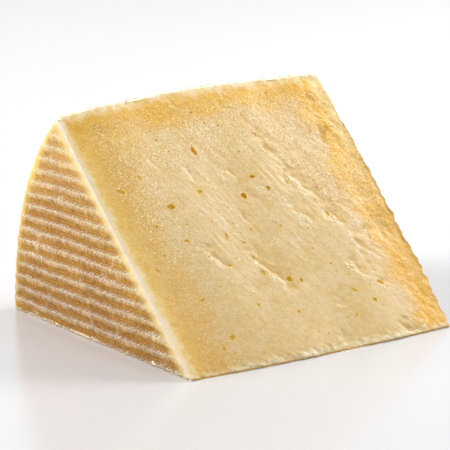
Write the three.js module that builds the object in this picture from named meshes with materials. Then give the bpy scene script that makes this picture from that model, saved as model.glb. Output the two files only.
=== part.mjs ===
// A wedge of pressed sheep's milk cheese, cut from a wheel like a slice of cake and laid on one of
// its two cut faces. Units are millimetres, +Z is up, and the part stands on z = 0.
//
// The wheel's axis runs along X, at the thin front edge of the wedge, the nose. The two flat faces
// of the wheel are the two ends of the wedge: three-sided, with rows of pressed ridges. The curved
// side of the wheel is the back, from the heel on the table up to the crest. The upper cut face
// climbs from the nose to the crest, and the lower cut face is flat on the table.

import * as THREE from "three";
import { mergeVertices } from "three/addons/utils/BufferGeometryUtils.js";

// Driving dimensions.
const WHEEL_RADIUS = 98.7; // at the -X face
const WHEEL_FLARE = 1.3; // how much wider the wheel is at its +X face
const WHEEL_HEIGHT = 98; // between the two flat faces
const WEDGE_ANGLE = THREE.MathUtils.degToRad(43); // about an eighth of the wheel
const BARREL_BULGE = 2.3; // how far the curved side swells at half the wheel's height
const SIDE_SWELL = 1.3; // how far it swells between the heel and the crest
const SIDE_SWELL_POWER = 2; // above 1, that swell sits nearer the crest
const RIND_EDGE_ROUND = 1.6; // where the curved side meets a cut face
const NOSE_BLUNT = 0.8; // how far the nose is worn back from a knife edge
const NOSE_BOW = 1.5; // how far the nose bows forward at mid length

// The flat faces: how far they swell at half the radius, how far they lean out by the crest, and
// how round their edge to the curved side is.
const NEAR_FACE = { swell: 0.3, lean: 0, cornerRound: 3 };
const FAR_FACE = { swell: 1.2, lean: 1.6, cornerRound: 1.2 };
const RELIEF_REACH = 6; // how far inwards a flat face's relief is felt

const RIDGE_PITCH = 4; // from one pressed ridge to the next
const RIDGE_DEPTH = 0.7;
const FIRST_GROOVE = 1.2; // its height
const RIDGE_FAN = 0.0011; // how much the ridges spread towards the nose, for each mm
const FAN_MIDDLE = 70; // how far from the wheel's axis the ridges have their true pitch
const RIDGE_FADE = 4; // the ridges run out this close to the curved side
const CUT_FADE = 5; // they are flatter this close to the upper cut face
const CUT_DEPTH_SHARE = 0.3; // the share of their depth that is left at the cut itself
const RIDGE_SHARPNESS = 1.6; // above 1, the grooves are narrower than the ridges

const BREAK_DEPTH = 1.1; // the crumbled strip of the upper cut face, by the +X face
const BREAK_WIDTH = 13;
const BREAK_SLOPE = 12; // the width over which the strip falls to its full depth
const BREAK_WOBBLES = [
  { run: 6.1, reach: 2 },
  { run: 2.7, reach: 1 },
];

// Shallow waves that the knife left in the upper cut face. They die out at the nose and the crest.
const KNIFE_WAVES = [
  { alongRun: 7.3, upRun: 31, height: 0.35 },
  { alongRun: 4.1, upRun: -17, height: 0.2 },
];
const WAVE_FADE = 0.3;

// How finely the skin is divided.
const LEVELS = 96; // from the table to the crest
const END_COLUMNS = 10; // from the nose to the curved side
const LENGTH_COLUMNS = 12; // from one flat face to the other
const CORNER_STATION = 0.3; // where a corner's middle column stands, as a share of its width
const CORNER_SHARE = 0.4; // how much of a narrow level its corner may take
const WELD_GAP = 1e-3; // points closer than this are one

const HALF_HEIGHT = WHEEL_HEIGHT / 2;
const lerp = THREE.MathUtils.lerp;
const smooth = (value, full) => THREE.MathUtils.smoothstep(value, 0, full);
const range = (count) => Array.from({ length: count }, (_, i) => i);
const sum = (numbers) => numbers.reduce((total, number) => total + number, 0);

// 1 at half way, 0 at both ends.
const hump = (share) => 4 * share * (1 - share);

const alongShare = (x) => (x + HALF_HEIGHT) / WHEEL_HEIGHT;
const faceAt = (x) => (x < 0 ? NEAR_FACE : FAR_FACE);

function wheelRadius(x) {
  const share = alongShare(x);
  return WHEEL_RADIUS + WHEEL_FLARE * share + BARREL_BULGE * hump(share);
}

const crestHeight = (x) =>
  (wheelRadius(x) - RIND_EDGE_ROUND) * Math.sin(WEDGE_ANGLE);

// How far a rounded edge has drawn back at a distance from the sharp edge that it replaces.
function drawnBack(distance, radius) {
  const inside = Math.max(0, radius - distance);
  return radius - Math.sqrt(radius ** 2 - inside ** 2);
}

// How far the upper cut face is below a true plane: waves along the knife's path, and the strip
// beside the +X face that crumbled instead of cutting.
function cutRelief(x, share) {
  const along = alongShare(x) * WHEEL_HEIGHT;
  const up = share * WHEEL_RADIUS;
  const waves = sum(
    KNIFE_WAVES.map(
      ({ alongRun, upRun, height }) =>
        height * Math.sin(along / alongRun + up / upRun),
    ),
  );
  const wobble = sum(
    BREAK_WOBBLES.map(({ run, reach }) => reach * Math.sin(up / run)),
  );
  const intoBreak = along - (WHEEL_HEIGHT - BREAK_WIDTH) + wobble;
  const broken = BREAK_DEPTH * smooth(intoBreak, BREAK_SLOPE);
  return smooth(hump(share), WAVE_FADE) * (waves + broken);
}

// One level of the skin at x: its height, and where it starts and ends from front to back.
function level(x, share) {
  const radius = wheelRadius(x);
  const z = share * crestHeight(x);
  const turn = Math.asin(z / radius);
  const fromCut = share === 1 ? 0 : radius * Math.min(turn, WEDGE_ANGLE - turn);
  const swell = SIDE_SWELL * hump(share ** SIDE_SWELL_POWER);
  const outer = radius + swell - drawnBack(fromCut, RIND_EDGE_ROUND);
  const bow = NOSE_BOW * hump(alongShare(x)) * (1 - share);
  const slope = Math.hypot(z / Math.tan(WEDGE_ANGLE), NOSE_BLUNT * (1 - share));
  return {
    z,
    front: slope - bow + cutRelief(x, share) / Math.sin(WEDGE_ANGLE),
    back: Math.sqrt(outer ** 2 - z ** 2),
    slant: Math.cos(turn),
  };
}

// Rounds the corner between a flat face and the curved side: each point is known by how deep it
// lies under the one and under the other.
function roundedCorner(underFace, underSide, radius) {
  const inside = Math.min(underFace, underSide);
  const onSkin = Math.max(underFace, underSide) - inside;
  if (onSkin >= radius || inside >= radius) return [underFace, underSide];
  const turn = (1 - onSkin / radius) * (Math.PI / 4);
  const keep = 1 - inside / radius;
  const near = radius * (1 - Math.cos(turn)) * keep;
  const far = (radius * (1 - Math.sin(turn)) - onSkin) * keep;
  return underFace < underSide
    ? [underFace + near, underSide + far]
    : [underFace + far, underSide + near];
}

// How far a flat face stands out at a point: its swell and its lean, less the pressed grooves.
function faceRelief(face, y, z, underSide, underCut) {
  const fan = 1 - RIDGE_FAN * (y - FAN_MIDDLE);
  const phase = ((z / fan - FIRST_GROOVE) / RIDGE_PITCH) * 2 * Math.PI;
  const groove = (0.5 + 0.5 * Math.cos(phase)) ** RIDGE_SHARPNESS;
  const byCut = lerp(CUT_DEPTH_SHARE, 1, smooth(underCut, CUT_FADE));
  const depth = RIDGE_DEPTH * smooth(underSide, RIDGE_FADE) * byCut;
  const swell = hump(Math.min(1, Math.hypot(y, z) / WHEEL_RADIUS));
  const lean = z / (WHEEL_RADIUS * Math.sin(WEDGE_ANGLE));
  return face.swell * swell + face.lean * lean - depth * groove;
}

// A point of the skin, from its place in the sharp-edged wedge.
function skinPoint(x, share, y) {
  const face = faceAt(x);
  const row = level(x, share);
  const underSide = Math.max(0, (row.back - y) * row.slant);
  const underCut = Math.max(0, (y - row.front) * Math.sin(WEDGE_ANGLE));
  const underFace = HALF_HEIGHT - Math.abs(x);
  const [faceDepth, sideDepth] = roundedCorner(
    underFace,
    underSide,
    face.cornerRound,
  );
  const felt = 1 - smooth(underFace, RELIEF_REACH);
  const relief = felt * faceRelief(face, y, row.z, underSide, underCut);
  const radial = Math.max(Math.hypot(y, row.z), face.cornerRound);
  const scale = 1 - (sideDepth - underSide) / radial;
  return new THREE.Vector3(
    Math.sign(x) * (HALF_HEIGHT - faceDepth + relief),
    y * scale,
    row.z * scale,
  );
}

// The stations of the columns along X, closer together at the two rounded corners.
function lengthStations() {
  const near = NEAR_FACE.cornerRound;
  const far = WHEEL_HEIGHT - FAR_FACE.cornerRound;
  const spans = LENGTH_COLUMNS - 4;
  const middle = range(spans + 1).map((i) => lerp(near, far, i / spans));
  const nearCorner = [0, near * CORNER_STATION];
  const farCorner = [lerp(WHEEL_HEIGHT, far, CORNER_STATION), WHEEL_HEIGHT];
  return [...nearCorner, ...middle, ...farCorner].map((d) => d - HALF_HEIGHT);
}

// The places of the columns across an end face at one level, from the nose to the curved side.
function endStations(x, share) {
  const { front, back, slant } = level(x, share);
  const widest = CORNER_SHARE * (back - front);
  const corner = Math.min(faceAt(x).cornerRound / slant, widest);
  const spans = END_COLUMNS - 2;
  const even = range(spans + 1).map((i) => lerp(front, back - corner, i / spans));
  return [...even, back - corner * CORNER_STATION, back];
}

// The grids of points of the five faces. Neighbouring faces compute their common edge alike.
const shares = range(LEVELS + 1).map((i) => i / LEVELS);
const stations = lengthStations();

const endFace = (x) =>
  shares.map((share) =>
    endStations(x, share).map((y) => skinPoint(x, share, y)),
  );

const nearEnd = endFace(-HALF_HEIGHT);
const farEnd = endFace(HALF_HEIGHT);

const curvedSide = shares.map((share) =>
  stations.map((x) => skinPoint(x, share, level(x, share).back)),
);

const upperCut = shares.map((share) =>
  stations.map((x) => skinPoint(x, share, level(x, share).front)),
);

const lowerCut = range(END_COLUMNS + 1).map((column) =>
  stations.map((x) => skinPoint(x, 0, endStations(x, 0)[column])),
);

// Adds a grid's triangles. Flipping turns their outer side round.
function addGrid(positions, grid, flipped) {
  for (let i = 0; i + 1 < grid.length; i++) {
    for (let j = 0; j + 1 < grid[i].length; j++) {
      const a = grid[i][j];
      const b = grid[i][j + 1];
      const c = grid[i + 1][j + 1];
      const d = grid[i + 1][j];
      const order = flipped ? [a, c, b, a, d, c] : [a, b, c, a, c, d];
      for (const point of order) positions.push(point.x, point.y, point.z);
    }
  }
}

// Leaves out the triangles that shrank to a line where the faces meet at the crest.
function withoutSlivers(geometry) {
  const kept = [];
  const index = geometry.index.array;
  for (let i = 0; i < index.length; i += 3) {
    const [a, b, c] = index.slice(i, i + 3);
    if (a !== b && b !== c && c !== a) kept.push(a, b, c);
  }
  geometry.setIndex(kept);
  return geometry;
}

function wedgeGeometry() {
  const positions = [];
  addGrid(positions, upperCut, false);
  addGrid(positions, curvedSide, true);
  addGrid(positions, nearEnd, true);
  addGrid(positions, farEnd, false);
  addGrid(positions, lowerCut, true);
  const raw = new THREE.BufferGeometry();
  raw.setAttribute("position", new THREE.Float32BufferAttribute(positions, 3));
  const geometry = withoutSlivers(mergeVertices(raw, WELD_GAP));
  geometry.computeBoundingBox();
  const box = geometry.boundingBox;
  const middle = box.getCenter(new THREE.Vector3());
  geometry.translate(-middle.x, -middle.y, -box.min.z);
  geometry.computeVertexNormals();
  return geometry;
}

const paste = new THREE.MeshStandardMaterial({
  color: 0xe6c884,
  roughness: 0.5,
  metalness: 0,
});

const wedge = new THREE.Mesh(wedgeGeometry(), paste);
wedge.name = "cheese_wedge";

const cheese = new THREE.Group();
cheese.add(wedge);

export default cheese;
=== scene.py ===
"""A wedge of aged, pressed sheep's milk cheese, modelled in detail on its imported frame.

The wheel's axis runs along X, at the wedge's thin front edge, the nose. The two flat faces of the
wheel are its ends, with rows of pressed ridges. The curved side of the wheel is its back, from the
heel on the table up to the crest. The upper cut face climbs from the nose to the crest.
"""

import math
import random
from collections import namedtuple

import bmesh
import bpy
import numpy as np
from bpy.props import FloatProperty, FloatVectorProperty, IntProperty, PointerProperty
from mathutils import Matrix, Vector, geometry, noise
from mathutils.kdtree import KDTree


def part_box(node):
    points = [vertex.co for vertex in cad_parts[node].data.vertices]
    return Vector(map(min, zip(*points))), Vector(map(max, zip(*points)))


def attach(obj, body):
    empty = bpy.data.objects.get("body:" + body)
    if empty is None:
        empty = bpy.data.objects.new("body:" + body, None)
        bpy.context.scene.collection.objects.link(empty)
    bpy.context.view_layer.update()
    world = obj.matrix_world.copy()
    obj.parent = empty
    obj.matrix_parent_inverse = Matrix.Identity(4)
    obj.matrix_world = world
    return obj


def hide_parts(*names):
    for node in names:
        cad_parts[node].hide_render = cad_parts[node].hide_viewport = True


bl_info = {
    "name": "Sheep Cheese Wedge",
    "version": (1, 0, 0),
    "blender": (4, 5, 0),
    "location": "View3D > Sidebar > Cheese",
    "description": "Builds a wedge of pressed sheep's milk cheese and the studio that it stands in",
    "category": "Add Mesh",
}

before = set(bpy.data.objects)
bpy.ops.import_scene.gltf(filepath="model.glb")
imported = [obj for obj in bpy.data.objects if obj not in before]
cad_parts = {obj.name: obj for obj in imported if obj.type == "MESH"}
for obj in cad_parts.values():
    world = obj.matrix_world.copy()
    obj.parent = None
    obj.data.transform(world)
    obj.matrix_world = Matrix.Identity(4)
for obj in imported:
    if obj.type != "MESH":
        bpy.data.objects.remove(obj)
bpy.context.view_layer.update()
NODE = "cheese_wedge"
WEDGE = "sheep_cheese_wedge"
MM = 0.001  # the wedge is worked out in millimetres and made in metres


# ---- settings


def length(name, description, mm):
    return FloatProperty(name=name, description=description, default=mm * MM, unit="LENGTH")


def angle(name, description, degrees):
    return FloatProperty(name=name, description=description, default=math.radians(degrees), subtype="ANGLE")


def power(name, description, watts):
    return FloatProperty(name=name, description=description, default=watts, unit="POWER")


def amount(name, description, default):
    return IntProperty(name=name, description=description, default=default, min=0)


def colour(name, description, value):
    return FloatVectorProperty(
        name=name, description=description, default=value, size=3, min=0, max=1, subtype="COLOR"
    )


class WedgeForm(bpy.types.PropertyGroup):
    """The wheel that the wedge was cut from, and the cut."""

    wheel_radius: length("Wheel radius", "Radius at the near flat face", 98.7)
    wheel_flare: length("Flare", "How much wider the wheel is at its far face", 1.3)
    wheel_height: length("Wheel height", "Between the two flat faces", 98)
    wedge_angle: angle("Wedge angle", "Between the two cuts", 43)
    barrel_bulge: length("Barrel bulge", "Swell of the curved side at half height", 2.3)
    side_swell: length("Side swell", "Its swell between heel and crest", 1.3)
    rind_edge_round: length("Rind edge round", "Where the curved side meets a cut", 1.6)
    nose_blunt: length("Nose blunting", "How far the nose is worn back", 0.8)
    nose_bow: length("Nose bow", "How far the nose bows forward at mid length", 1.5)


class RindRelief(bpy.types.PropertyGroup):
    """What the mould pressed into the rind."""

    ridge_pitch: length("Ridge pitch", "From one pressed ridge to the next", 4)
    ridge_depth: length("Ridge depth", "Depth of the grooves between the ridges", 0.85)
    strand_pitch: length("Strand pitch", "Between the strands of the plaited band", 3.4)
    strand_depth: length("Strand depth", "How deep the plaited band pressed", 0.55)


class CutRelief(bpy.types.PropertyGroup):
    """What the knife left on the upper cut face."""

    wave_height: length("Wave height", "Shallow waves along the knife's path", 0.3)
    core_grain: length("Core grain", "Roughness of the smooth core", 0.03)
    rough_grain: length("Rough grain", "Roughness where the paste tore", 0.07)
    break_depth: length("Break depth", "How far the crumbled strip lies below the cut", 0.35)
    pinholes: amount("Pinholes", "Tiny eyes scattered between the larger ones", 46)


class Finish(bpy.types.PropertyGroup):
    """Colours of the paste and the rind."""

    core: colour("Core", "Pale paste in the middle of the cut", (0.765, 0.57, 0.28))
    blush: colour("Blush", "Pinkish patches in the torn paste", (0.77, 0.535, 0.265))
    # The ochre colour is the deeper paste towards the near face, and it is also painted as contact shade
    # along the table.
    ochre_and_contact_shade: colour("Ochre", "Deeper paste towards the near face and beside the table", (0.77, 0.475, 0.125))
    near_band: colour("Near band", "Paste under the near face's rind", (0.82, 0.535, 0.14))
    crest_band: colour("Crest band", "Paste under the curved side's rind", (0.77, 0.44, 0.06))
    # The far band is partly the golden crumbled paste and partly a painted glow of light shining through the
    # paste beside the far face.
    far_band_and_glow: colour("Far band", "The golden crumbled paste beside the far face", (0.84, 0.465, 0.055))
    edge: colour("Edge", "The dry paste along the cut's edges", (0.96, 0.79, 0.44))
    # The hollow colour is partly moist paste and partly painted shade in the grounds of tears, in hollows,
    # beside eyes and along streaks.
    hollow: colour("Hollow", "Moist paste at the bottom of tears and hollows", (0.75, 0.48, 0.155))
    dry: colour("Dry", "Whitish torn edges of the paste", (1.0, 0.87, 0.55))
    # The speck colour is partly the paste's bright grains and partly painted glints on them.
    speck_and_glint: colour("Speck", "Bright grains in the paste", (1.0, 0.87, 0.50))
    eye_wall: colour("Eye wall", "The moist inside of an eye, near its mouth", (1.0, 0.74, 0.15))
    # The eye floor colour is painted shade, deep inside the eye.
    eye_floor_shade: colour("Eye floor", "The deeper part of an eye's wall, and its floor", (1.0, 0.60, 0.02))
    # The rim colour is partly the dried white lip of the cut and partly a painted highlight where the edge
    # catches the light.
    rim: colour("Rim", "The dried white lip of the cut", (0.90, 0.77, 0.60))
    ridge: colour("Ridge", "The face of a pressed ridge, under its lip", (0.69, 0.435, 0.19))
    groove: colour("Groove", "The bottom of a groove", (0.58, 0.29, 0.052))
    # The shelf colour is painted shade: the dark band of the groove's shade, laid on the shelf above each
    # lip.
    shelf: colour("Shelf", "The dark golden shelf above a ridge's lip", (0.42, 0.20, 0.03))
    # The lip colour is partly the pale bloom of the lips and the cloth's strokes, and partly a painted
    # highlight along each lip.
    lip: colour("Lip", "The pale lip of a ridge and the cloth's strokes above it", (1.0, 0.87, 0.665))
    margin: colour("Margin", "The smooth rind beside the wheel's edges", (0.95, 0.64, 0.18))
    strand: colour("Strand", "The plaited band's marks on the curved side", (0.72, 0.46, 0.18))
    strand_gap: colour("Strand gap", "Between the marks of the plaited band", (0.52, 0.29, 0.08))


class Crumbs(bpy.types.PropertyGroup):
    """The grains of paste that cling to the wedge."""

    count: amount("Crumbs", "How many cling along the crest and the nose and in the torn paste", 2200)
    smallest: length("Smallest", "Radius of the smallest crumb", 0.11)
    largest: length("Largest", "Radius of the largest crumb", 0.42)
    pale: colour("Pale crumb", "A dry crumb", (0.90, 0.81, 0.66))
    golden: colour("Golden crumb", "A moist crumb", (0.88, 0.69, 0.40))


class Studio(bpy.types.PropertyGroup):
    """The camera, the lights and the floor."""

    azimuth: angle("Azimuth", "Where the camera stands round the wedge", -35.92)
    elevation: angle("Elevation", "How far the camera looks down", 14.59)
    distance: length("Distance", "From the camera to its aim", 1155)
    lens: FloatProperty(name="Lens", description="Focal length in millimetres", default=288, min=1)
    sky: FloatProperty(name="Sky", description="Strength of the white surroundings", default=0.36, min=0)
    key: power("Key light", "Power of the soft box beside the far face", 4.6)
    rind: power("Rind light", "Power of the soft box beside the near face", 13.4)
    backdrop: power("Backdrop", "Power of the wide white backdrop", 19.0)
    top: power("Top light", "Power of the soft box above the wedge", 2.0)
    floor_colour: colour("Floor", "The pale table", (0.62, 0.62, 0.64))


# ---- small helpers


def smoothstep(low, high, value):
    t = np.clip((value - low) / (high - low), 0, 1)
    return t * t * (3 - 2 * t)


def hump(share):
    """1 at half way, 0 at both ends."""
    return 4 * share * (1 - share)


def fractal(points, size, seed, octaves=3):
    """Smooth noise of about -1 to 1, with features of the given size."""
    shift = Vector((17.3 * seed, 5.1 * seed, 3.7 * seed))
    return np.array([noise.fractal(Vector(p) / size + shift, 1.0, 2.0, octaves) for p in points])


def lumps(points, size, seed):
    """Rounded lumps of the given size: 1 at the middle of each, 0 or less between them."""
    shift = Vector((9.7 * seed, 3.3 * seed, 7.9 * seed))
    return np.array([1 - 1.6 * noise.voronoi(Vector(p) / size + shift)[0][0] for p in points])


def graded(width, step, first=0.14, growth=1.45):
    """Places from 0 to the width, about a step apart and closer together at both ends."""
    near, gap = [0.0], first
    while gap < step and near[-1] + gap < width / 2:
        near.append(near[-1] + gap)
        gap *= growth
    start = near.pop()
    count = max(1, round((width - 2 * start) / step))
    middle = np.linspace(start, width - start, count + 1)
    return np.concatenate([near, middle, width - np.array(near[::-1])])


def from_axis(points):
    """How far points lie from the wheel's axis."""
    return np.hypot(points[:, 1], points[:, 2])


def flat(along, up):
    """Places on the cut face, as points in one plane."""
    return np.stack([along, up, np.zeros_like(up)], -1)


def read(items, name, width=1, kind=float):
    """One property of all of a mesh's vertices, faces or corners, as an array."""
    values = np.empty(len(items) * width, kind)
    items.foreach_get(name, values)
    return values.reshape(-1, width) if width > 1 else values


def new_mesh(name, points, triangles):
    """A smooth mesh of points in metres."""
    mesh = bpy.data.meshes.new(name)
    mesh.from_pydata(points, [], triangles.tolist())
    mesh.shade_smooth()
    return mesh


def show(name, data):
    """Puts a mesh, a light or a camera in the scene, as an object."""
    piece = bpy.data.objects.new(name, data)
    bpy.context.scene.collection.objects.link(piece)
    return piece


# ---- the smooth skin


class Skin:
    """The smooth skin in millimetres, with the wheel's axis on y = z = 0 and x = 0 at its middle."""

    CORNER_ROUNDS = (3.0, 1.2)  # between the curved side and the near and the far face
    FACE_SWELLS = (0.3, 1.2)  # how far each flat face swells at half its radius
    FAR_LEAN = 1.6  # how far the far face leans out by the crest
    RELIEF_REACH = 6.0  # how far inwards a flat face's form is felt
    SWELL_POWER = 2  # above 1, the side's swell sits nearer the crest

    def __init__(self, form):
        self.radius = form.wheel_radius / MM
        self.flare = form.wheel_flare / MM
        self.height = form.wheel_height / MM
        self.half = self.height / 2
        self.angle = form.wedge_angle
        self.bulge = form.barrel_bulge / MM
        self.swell = form.side_swell / MM
        self.edge_round = form.rind_edge_round / MM
        self.blunt = form.nose_blunt / MM
        self.bow = form.nose_bow / MM
        self.cut_way = np.array([0, -math.sin(self.angle), math.cos(self.angle)])

    def along(self, x):
        return (x + self.half) / self.height

    def wheel_radius(self, x):
        return self.radius + self.flare * self.along(x) + self.bulge * hump(self.along(x))

    def on_cut(self, points):
        """Where points lie on the cut face: along it from the near face, and up from the nose."""
        return points[:, 0] + self.half, from_axis(points)

    def under_cut(self, points):
        """How deep points lie below the upper cut face."""
        return points[:, 1] * math.sin(self.angle) - points[:, 2] * math.cos(self.angle)

    def under_side(self, points):
        """How deep points lie below the curved side."""
        return self.wheel_radius(points[:, 0]) - from_axis(points)

    def level(self, x, share):
        """Height, front, back and the curved side's slant, at a share of the crest's height."""
        radius = self.wheel_radius(x)
        z = share * (radius - self.edge_round) * math.sin(self.angle)
        turn = np.arcsin(z / radius)
        from_cut = radius * np.minimum(turn, self.angle - turn) * (share < 1)
        inside = np.maximum(0, self.edge_round - from_cut)
        drawn_back = self.edge_round - np.sqrt(self.edge_round**2 - inside**2)
        outer = radius + self.swell * hump(share**self.SWELL_POWER) - drawn_back
        bow = self.bow * hump(self.along(x)) * (1 - share)
        front = np.hypot(z / math.tan(self.angle), self.blunt * (1 - share)) - bow
        back = np.sqrt(outer**2 - z**2)
        return z, front, back, np.cos(turn)

    def points(self, x, share, y):
        """Points of the skin, from their places in the sharp-edged wedge."""
        z, _, back, slant = self.level(x, share)
        far = x > 0
        corner = np.where(far, self.CORNER_ROUNDS[1], self.CORNER_ROUNDS[0])
        under_side = np.maximum(0, (back - y) * slant)
        under_face = self.half - np.abs(x)
        inside = np.minimum(under_face, under_side)
        on_skin = np.maximum(under_face, under_side) - inside
        turn = (1 - np.minimum(1, on_skin / corner)) * (math.pi / 4)
        keep = np.maximum(0, 1 - inside / corner)
        near = corner * (1 - np.cos(turn)) * keep
        other = np.where(on_skin < corner, (corner * (1 - np.sin(turn)) - on_skin) * keep, 0)
        face_first = under_face < under_side
        face_depth = under_face + np.where(face_first, near, other)
        side_drop = np.where(face_first, other, near)
        swell = np.where(far, self.FACE_SWELLS[1], self.FACE_SWELLS[0])
        stand_out = swell * hump(np.minimum(1, np.hypot(y, z) / self.radius))
        lean = self.FAR_LEAN * z / (self.radius * math.sin(self.angle))
        stand_out = stand_out + np.where(far, lean, 0)
        felt = 1 - smoothstep(0, self.RELIEF_REACH, under_face)
        scale = 1 - side_drop / np.maximum(np.hypot(y, z), corner)
        out = self.half - face_depth + felt * stand_out
        return np.stack([np.sign(x) * out, y * scale, z * scale], -1)


class Shell:
    """The wedge's closed skin as points and triangles, built level by level from table to crest."""

    def __init__(self, skin, steps):
        self.skin = skin
        self.places = []
        self.triangles = []
        self.cut_x = graded(skin.height, steps.cut) - skin.half
        self.side_x = graded(skin.height, steps.side, first=0.4)[::-1] - skin.half
        shares = graded(skin.radius, steps.level) / skin.radius
        loops = [self.loop(share, steps) for share in shares]
        for lower, upper in zip(loops, loops[1:]):
            for lower_row, upper_row in zip(lower, upper):
                self.stitch(lower_row, upper_row)
        self.close_base([number for row, _ in loops[0] for number in row[:-1]], steps.base)
        places = np.array(self.places)
        self.points = skin.points(places[:, 0], places[:, 1], places[:, 2])
        self.triangles = np.array(self.triangles)

    def add(self, x, share, y):
        """Adds a row of points and returns their numbers."""
        x, share, y = np.broadcast_arrays(x, share, y)
        start = len(self.places)
        self.places.extend(zip(x.ravel(), share.ravel(), y.ravel()))
        return list(range(start, len(self.places)))

    def loop(self, share, steps):
        """One level's loop: its rows along the cut, the far face, the curved side and the near face.

        Each row is its points' numbers, and how far along the row each of them lies, from 0 to 1.
        """
        skin = self.skin
        cut = self.add(self.cut_x, share, skin.level(self.cut_x, share)[1])
        cut_row = cut, skin.along(self.cut_x)
        if share == 1:
            return cut_row, ([cut[-1]], [0.0]), (cut[::-1], 1 - cut_row[1][::-1]), ([cut[0]], [0.0])
        far_row = self.face_row(skin.half, share, cut[-1], steps.far)
        near, across = self.face_row(-skin.half, share, cut[0], steps.near)
        inner = self.side_x[1:-1]
        side = self.add(inner, share, skin.level(inner, share)[2])
        side_row = [far_row[0][-1], *side, near[-1]], 1 - skin.along(self.side_x)
        return cut_row, far_row, side_row, (near[::-1], 1 - across[::-1])

    def face_row(self, x, share, start, step):
        """A row on one flat face, from its point on the cut to the curved side."""
        _, front, back, _ = self.skin.level(x, share)
        across = graded(back - front, step)
        return [start, *self.add(x, share, front + across[1:])], across / (back - front)

    def stitch(self, lower, upper):
        """Fills the strip between two rows, which may have different numbers of points."""
        (a, at_a), (b, at_b) = lower, upper
        i = j = 0
        while i + 1 < len(a) or j + 1 < len(b):
            if j + 1 == len(b) or (i + 1 < len(a) and at_a[i + 1] <= at_b[j + 1]):
                self.triangles.append((a[i], a[i + 1], b[j]))
                i += 1
            else:
                self.triangles.append((a[i], b[j + 1], b[j]))
                j += 1

    def close_base(self, rim, step):
        """Fills the flat cut face on the table, inside the lowest loop."""
        places = np.array(self.places)[rim]
        outline = self.skin.points(places[:, 0], places[:, 1], places[:, 2])[:, :2]
        half, depth = self.skin.half - step, self.skin.radius - step
        inner_x = np.linspace(-half, half, round(2 * half / step))
        inner_y = np.linspace(step, depth, round(depth / step))
        grid = np.array([(x, y) for y in inner_y for x in inner_x])
        numbers = rim + self.add(grid[:, 0], 0.0, grid[:, 1])
        spots = [Vector(p) for p in np.concatenate([outline, grid])]
        edges = [(i, (i + 1) % len(rim)) for i in range(len(rim))]
        filled = geometry.delaunay_2d_cdt(spots, edges, [], 1, 1e-6)
        for face in filled[2]:
            self.triangles.append(tuple(numbers[filled[3][corner][0]] for corner in reversed(face)))

    def normals(self):
        corners = self.points[self.triangles]
        across = np.cross(corners[:, 1] - corners[:, 0], corners[:, 2] - corners[:, 0])
        total = np.zeros_like(self.points)
        for corner in range(3):
            np.add.at(total, self.triangles[:, corner], across)
        return total / np.linalg.norm(total, axis=1)[:, None]


# ---- marks on the cut face


# Places on the cut face are (along the wheel's axis from the near face, up from the nose), in mm.
# A mark's width, height and depth are in mm too, and it is turned by degrees.
Mark = namedtuple("Mark", "along up width height turn depth")


def marks(*rows):
    return [Mark(*row) for row in rows]


EYES = marks(
    (41.1, 77.7, 1.9, 3.4, 8, 1.5), (22.8, 59.5, 3.1, 2.5, 20, 1.5), (50.2, 59.1, 2.2, 2.8, 10, 1.5),
    (56.2, 65.1, 2.4, 1.7, -15, 1.1), (59.5, 59.8, 1.6, 2.4, -10, 1.1), (8.5, 67.7, 3.1, 1.9, -25, 1.0),
    (67.5, 60.9, 1.2, 1.9, 5, 0.9), (35.3, 63.0, 2.2, 1.9, 30, 0.7), (17.1, 71.6, 1.1, 2.0, 10, 0.7),
    (30.2, 84.0, 1.2, 0.9, 0, 0.8), (14.4, 53.7, 1.4, 1.3, 0, 0.7), (24.8, 52.4, 0.9, 0.8, 0, 0.7),
    (22.0, 46.7, 2.1, 1.0, -20, 0.9), (36.4, 45.8, 1.2, 2.8, -15, 0.6), (41.4, 42.8, 1.5, 0.8, 0, 0.7),
    (46.3, 47.0, 1.0, 1.2, 0, 0.7), (7.3, 38.9, 1.1, 2.1, 25, 0.7), (12.1, 43.3, 1.0, 1.2, 0, 0.7),
    (31.9, 35.6, 2.2, 0.9, -5, 1.0), (42.3, 31.1, 1.9, 2.2, 20, 0.6), (50.2, 27.3, 2.0, 2.4, 0, 1.4),
    (54.1, 26.2, 1.3, 1.9, 0, 1.1), (67.3, 29.8, 1.0, 1.0, 0, 0.6), (24.9, 28.9, 0.8, 0.7, 0, 0.6),
    (16.8, 25.9, 2.6, 0.6, 22, 0.5), (81.0, 20.3, 3.3, 1.8, -32, 1.1), (70.4, 19.1, 3.2, 1.0, -50, 0.8),
    (75.6, 14.4, 1.6, 1.7, -30, 0.9), (66.7, 10.6, 1.0, 1.7, 0, 0.6), (47.1, 15.6, 1.2, 1.0, 0, 0.7),
    (34.8, 20.5, 1.2, 1.4, 0, 0.6), (20.2, 11.5, 2.4, 1.9, 35, 0.9), (15.8, 8.7, 0.9, 1.8, 0, 0.7),
    (65.4, 79.9, 1.1, 1.6, 15, 0.8), (56.4, 74.9, 0.9, 1.0, 0, 0.6), (49.8, 87.2, 0.8, 1.2, 0, 0.6),
    (47.0, 91.6, 1.4, 0.9, 15, 0.6), (75.9, 47.5, 1.5, 2.6, 5, 0.5),
)

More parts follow.
